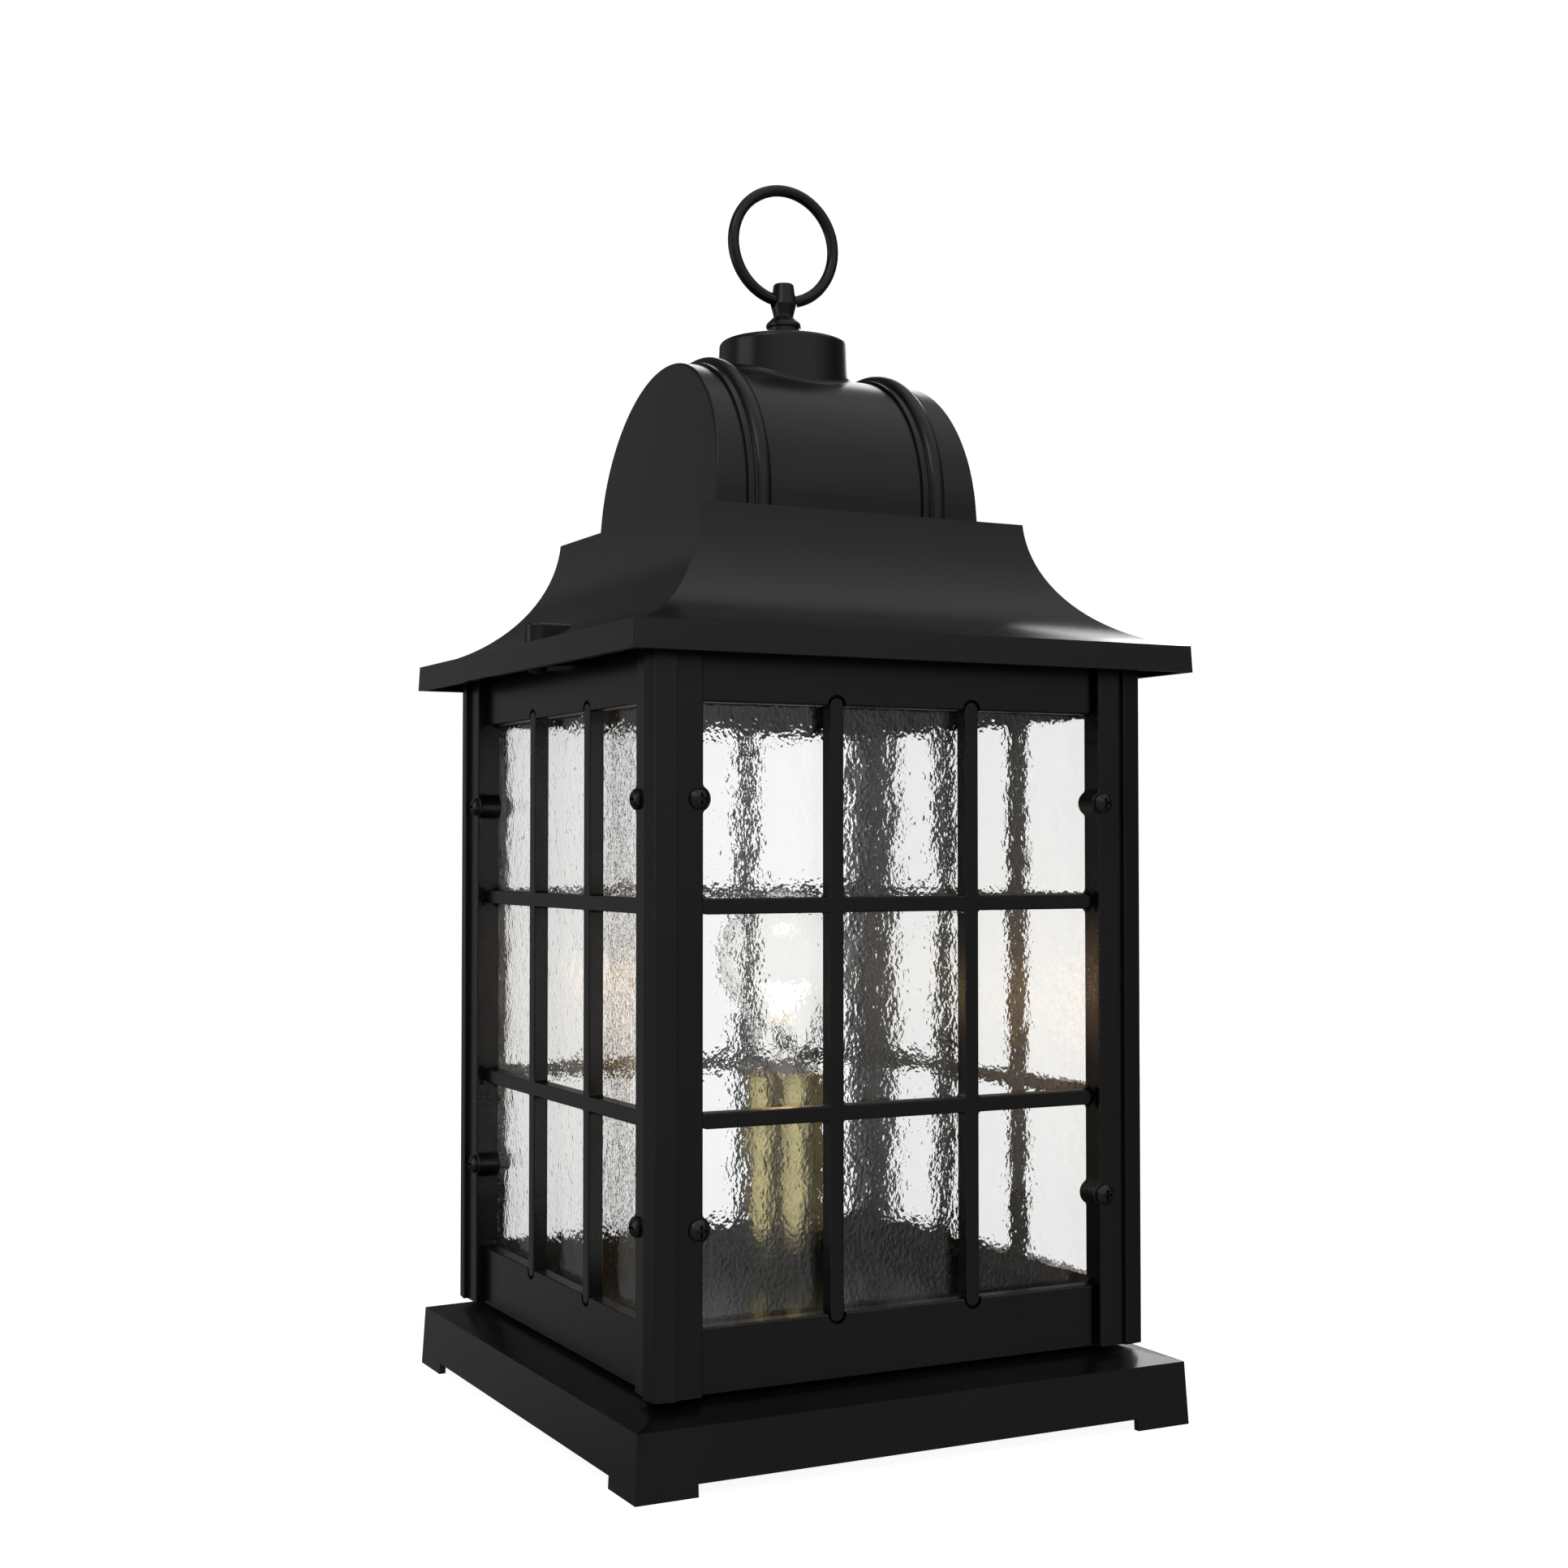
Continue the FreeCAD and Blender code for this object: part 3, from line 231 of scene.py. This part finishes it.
def plated(name, dark, light, low, high, wave=0.003):
    """Bright or plated metal with a cloudy surface."""
    metal = Finish(name, Metallic=1.0)
    clouds = metal.noise(wave, 3.0)
    metal.set(
        Base_Color=metal.mix(metal.spread(clouds, 0.3, 0.7, 0, 1), dark, light),
        Roughness=metal.spread(clouds, 0.3, 0.7, low, high),
        Normal=metal.bump(metal.noise(wave / 6, 2.0), 0.000008),
    )
    return metal.material


def socket_ceramic():
    """Glazed porcelain with faint clouds of tone, gloss and relief."""
    china = Finish("glazed_porcelain", Specular_IOR_Level=0.5)
    clouds = china.noise(0.006, 3.0)
    china.set(
        Base_Color=china.mix(china.spread(clouds, 0.3, 0.7, 0, 1), (0.74, 0.72, 0.66), (0.84, 0.82, 0.77)),
        Roughness=china.spread(clouds, 0.3, 0.7, 0.12, 0.25),
        Normal=china.bump(clouds, 0.00005),
    )
    return china.material


def blown_glass(name, wave, depth):
    """Clear thin glass with the soft unevenness of blowing."""
    glass = Finish(name, Base_Color=(0.995, 0.99, 0.985, 1), Roughness=0.0, IOR=1.25, Transmission_Weight=1.0)
    glass.set(Normal=glass.bump(glass.noise(wave, 1.0), depth))
    return glass.material


def glowing_wire():
    """Tungsten at white heat, a little hotter in soft patches along the wire."""
    wire = Finish("tungsten", Metallic=1.0, Roughness=0.4, Emission_Strength=3.0)
    heat = wire.spread(wire.noise(0.003, 2.0), 0.3, 0.7, 0, 1)
    wire.set(
        Base_Color=wire.mix(heat, (0.3, 0.28, 0.26), (0.4, 0.38, 0.36)),
        Emission_Color=wire.mix(heat, (1.0, 0.8, 0.56), (1.0, 0.87, 0.68)),
    )
    return wire.material


FINISHES = {
    "black_metal": black_metal(),
    "seeded_glass": seeded_glass(),
    "black_screws": black_screws(),
    "satin_brass": satin_brass(),
    "zinc_steel": plated("zinc_plate", (0.42, 0.42, 0.44), (0.58, 0.58, 0.6), 0.28, 0.42),
    "socket_ceramic": socket_ceramic(),
    "socket_brass": plated("bright_brass", (0.5, 0.38, 0.17), (0.66, 0.52, 0.26), 0.18, 0.3),
    "lamp_cap": plated("bright_aluminium", (0.6, 0.6, 0.61), (0.74, 0.74, 0.75), 0.18, 0.32),
    "lamp_solder": plated("dull_solder", (0.34, 0.34, 0.35), (0.46, 0.46, 0.47), 0.4, 0.55, 0.0015),
    "lamp_glass": blown_glass("lamp_glass", 0.012, 0.00012),
    "stem_glass": blown_glass("stem_glass", 0.004, 0.0001),
    "tungsten": glowing_wire(),
}

for node in nodes.values():
    for slot in node.material_slots:
        slot.material = FINISHES[slot.material.name.split(".")[0]]


# ---------------------------------------------------------------- panes


def piece(name, mesh, body, slot):
    """A new object made of one mesh, riding on a body, in that slot's finish."""
    thing = bpy.data.objects.new(name, mesh)
    scene.collection.objects.link(thing)
    thing.data.materials.append(FINISHES[slot])
    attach(thing, body)
    return thing


def closed_mesh(name, points, faces, smooth_faces, sharp_angle):
    """A closed mesh whose first faces shade smoothly, except across edges bent more than the sharp angle."""
    mesh = bpy.data.meshes.new(name)
    mesh.from_pydata(points, [], faces)
    shape = bmesh.new()
    shape.from_mesh(mesh)
    bmesh.ops.recalc_face_normals(shape, faces=shape.faces)
    for face in shape.faces[:smooth_faces]:
        face.smooth = True
    for edge in shape.edges:
        if edge.calc_face_angle() > sharp_angle:
            edge.smooth = False
    shape.to_mesh(mesh)
    shape.free()
    return mesh


def ripple(across, up, seed):
    """Depth of the pane's rolled surface below the node's outer face in metres, from about -0.13 to -0.47 mm."""
    broad = noise.noise(Vector((across / 0.014, up / 0.019, seed)))
    close = noise.noise(Vector((across / 0.0052, up / 0.0066, seed + 7.3)))
    return 0.00008 * broad + 0.00009 * close - 0.0003


def pane(side, seed, step=0.001):
    """One sheet of glass: a finely divided rippled outer face on a flat back, inside its CAD node's box."""
    low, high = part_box("glass_" + side)
    size = high - low
    thin = 0 if size.x < size.y else 1
    along = 1 - thin
    outward = 1 if (low + high)[thin] > 0 else -1
    outer = high[thin] if outward > 0 else low[thin]
    inner = low[thin] if outward > 0 else high[thin]
    columns = round(size[along] / step)
    rows = round(size.z / step)
    points = []
    for row in range(rows + 1):
        for column in range(columns + 1):
            across = low[along] + size[along] * column / columns
            up = low.z + size.z * row / rows
            point = [0.0, 0.0, up]
            point[along] = across
            point[thin] = outer + outward * ripple(across, up, seed)
            points.append(point)
    wide = columns + 1
    faces = []
    for row in range(rows):
        for column in range(columns):
            first = row * wide + column
            faces.append((first, first + 1, first + wide + 1, first + wide))
    rim = list(range(columns))
    rim += [row * wide + columns for row in range(rows)]
    rim += [rows * wide + column for column in range(columns, 0, -1)]
    rim += [row * wide for row in range(rows, 0, -1)]
    back = len(points)
    for index in rim:
        point = list(points[index])
        point[thin] = inner
        points.append(point)
    for place, index in enumerate(rim):
        after = (place + 1) % len(rim)
        faces.append((index, back + place, back + after, rim[after]))
    faces.append(tuple(back + place for place in reversed(range(len(rim)))))
    return closed_mesh("pane_" + side, points, faces, rows * columns, 0.6)


for seed, side in enumerate(("front", "right", "back", "left")):
    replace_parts(piece("pane_" + side, pane(side, 11.0 * seed + 3), "lantern", "seeded_glass"), "glass_" + side)


# ---------------------------------------------------------------- threaded lamp cap


def ramp(part):
    return min(1, max(0, part))


CAP_MOUTH = 0.00475  # radius of the hole for the end contact
CAP_WALL = 0.0004
CAP_PITCH = 0.00363  # seven threads to the inch
CAP_CREST = 0.0005
CAP_PLAIN = 0.004  # height left without thread at each end
CAP_FADE = 0.002  # height over which the thread runs out


def threaded_cap(turns=96, rows=90):
    """Thin pressed shell with a rolled screw thread, made as one closed skin of outer and inner rings."""
    low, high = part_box("bulb_cap")
    top, bottom, outer = high.z, low.z, high.x
    shoulder = bottom + CAP_PLAIN
    rings = []
    for row in range(rows + 1):
        rings.append((shoulder + (top - shoulder) * row / rows, 0.0))
    for row in range(rows, -1, -1):
        rings.append((shoulder + CAP_WALL + (top - shoulder - CAP_WALL) * row / rows, CAP_WALL))
    points = []
    for height, inset in rings:
        ease = ramp((height - shoulder) / CAP_FADE) * ramp((top - CAP_PLAIN - height) / CAP_FADE)
        for turn in range(turns):
            angle = 2 * math.pi * turn / turns
            wave = 0.5 - 0.5 * math.cos(2 * math.pi * (height / CAP_PITCH) - angle)
            radius = outer - inset - 2 * CAP_CREST * wave * ease
            points.append((radius * math.cos(angle), radius * math.sin(angle), height))
    for radius, height in ((CAP_MOUTH, bottom + CAP_WALL), (CAP_MOUTH, bottom)):
        for turn in range(turns):
            angle = 2 * math.pi * turn / turns
            points.append((radius * math.cos(angle), radius * math.sin(angle), height))
    count = len(rings) + 2
    faces = []
    for ring in range(count):
        for turn in range(turns):
            after, above = (turn + 1) % turns, (ring + 1) % count
            faces.append((ring * turns + turn, ring * turns + after, above * turns + after, above * turns + turn))
    return closed_mesh("threaded_cap", points, faces, len(faces), 0.7)


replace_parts(piece("threaded_cap", threaded_cap(), "bulb", "lamp_cap"), "bulb_cap")


# ---------------------------------------------------------------- floor, camera and light

low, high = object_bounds()
bpy.ops.mesh.primitive_plane_add(size=60, location=(0, 0, low.z))
floor = bpy.context.object
floor.name = "floor"
pale = Finish("pale_floor", Roughness=0.9, Specular_IOR_Level=0.1, Emission_Color=(1, 1, 1, 1))
path = pale.add("ShaderNodeLightPath").outputs
pale.set(
    Base_Color=pale.mix(pale.noise(0.4, 3.0), (0.38, 0.38, 0.38), (0.42, 0.42, 0.42)),
    Emission_Strength=pale.spread(path["Is Camera Ray"], 0, 1, 0.05, 0.93),
)
floor.data.materials.append(pale.material)
floor.visible_glossy = False
floor.visible_transmission = False

camera = bpy.data.objects.new("camera", bpy.data.cameras.new("camera"))
scene.collection.objects.link(camera)
camera.location = (-0.4489, -0.8729, 0.2436)
camera.rotation_euler = (math.radians(91.644), 0, math.radians(-27.222))
camera.data.lens = 50
camera.data.sensor_width = 36
scene.camera = camera

world = bpy.data.worlds.new("studio")
scene.world = world
world.use_nodes = True
tree = world.node_tree
tree.nodes.clear()


def world_node(kind, values=None, **properties):
    """A new node of the world, with its properties set and its inputs linked or set."""
    node = tree.nodes.new(kind)
    for key, value in properties.items():
        setattr(node, key, value)
    for key, value in (values or {}).items():
        if isinstance(value, bpy.types.NodeSocket):
            tree.links.new(value, node.inputs[key])
        else:
            node.inputs[key].default_value = value
    return node


path = world_node("ShaderNodeLightPath").outputs
direction = world_node("ShaderNodeTexCoord").outputs["Generated"]


def toward(aim, low, high, dark, bright):
    """Strength that rises as a direction turns toward the aim."""
    turn = world_node("ShaderNodeVectorMath", {0: direction, 1: aim}, operation="DOT_PRODUCT")
    values = {"Value": turn.outputs["Value"], "From Min": low, "From Max": high, "To Min": dark, "To Max": bright}
    return world_node("ShaderNodeMapRange", values, interpolation_type="SMOOTHSTEP").outputs["Result"]


def blend(factor, first, second):
    """The first value where the factor is 0, and the second where it is 1."""
    return world_node("ShaderNodeMix", {0: factor, 2: first, 3: second}, data_type="FLOAT").outputs[0]


def combine(first, second, operation="ADD"):
    return world_node("ShaderNodeMath", {0: first, 1: second}, operation=operation).outputs["Value"]


# What the metal reflects (room), what is seen through glass (inside), and white where it is seen directly.
front = toward((-0.35, -0.937, 0), -0.1, 0.9, 0.07, 0.25)
above = toward((0, -0.5, 0.866), 0.4, 0.75, 0.0, 0.34)
overhead = toward((0.3, 0, 0.954), 0.7, 0.95, 0.0, 0.2)
room = combine(combine(front, above), overhead)
panels = [toward(aim, 0.8, 0.93, 0.14, 1.0) for aim in ((-0.98, 0.2, 0), (0, -1, 0))]
inside = combine(*panels, "MAXIMUM")
reflected = combine(path["Diffuse Depth"], path["Glossy Depth"])
strength = blend(reflected, 1.03, blend(path["Is Transmission Ray"], room, inside))
glow = world_node("ShaderNodeBackground", {"Color": (1, 1, 1, 1), "Strength": strength})
world_node("ShaderNodeOutputWorld", {"Surface": glow.outputs["Background"]})

scene.view_settings.view_transform = "Standard"


MIDDLE = (0, 0, 0.3)


def softbox(name, place, size, power):
    """A white panel light aimed at the middle of the object, unseen by the camera and through glass."""
    lamp = bpy.data.objects.new(name, bpy.data.lights.new(name, "AREA"))
    scene.collection.objects.link(lamp)
    lamp.location = place
    lamp.rotation_euler = (Vector(MIDDLE) - Vector(place)).to_track_quat("-Z", "Y").to_euler()
    lamp.data.shape = "RECTANGLE"
    lamp.data.size, lamp.data.size_y = size
    lamp.data.energy = power
    lamp.visible_camera = False
    lamp.visible_transmission = False


def at(turn, rise, reach=2.2):
    """A place around the object's middle: turn from +Y toward +X and rise above the level, in degrees."""
    turn, rise = math.radians(turn), math.radians(rise)
    flat = reach * math.cos(rise)
    return (flat * math.sin(turn), flat * math.cos(turn), MIDDLE[2] + reach * math.sin(rise))


softbox("left_back", at(-30, 6), (1.7, 2.1), 1.3)
softbox("left", at(-80, 8), (1.2, 1.6), 5.0)
softbox("right_back_high", at(37, 27), (1.0, 1.3), 10.0)
softbox("right_back_low", at(52, 12), (0.8, 0.9), 10.0)
softbox("key", (-2.0, -1.4, 2.4), (1.2, 1.2), 5)

# The filament's light passes the lamp and panes, so only the solid pieces stop it.
filament_low, filament_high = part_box("bulb_filament")
stoppers = bpy.data.collections.new("solid_pieces")
for name, node in nodes.items():
    if not name.startswith(("glass_", "bulb_")):
        stoppers.objects.link(node)
flame = bpy.data.objects.new("filament_light", bpy.data.lights.new("filament_light", "POINT"))
scene.collection.objects.link(flame)
flame.location = (filament_low + filament_high) / 2
flame.data.energy = 0.07
flame.data.color = (1.0, 0.62, 0.3)
flame.data.shadow_soft_size = 0.006
flame.light_linking.blocker_collection = stoppers
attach(flame, "bulb")
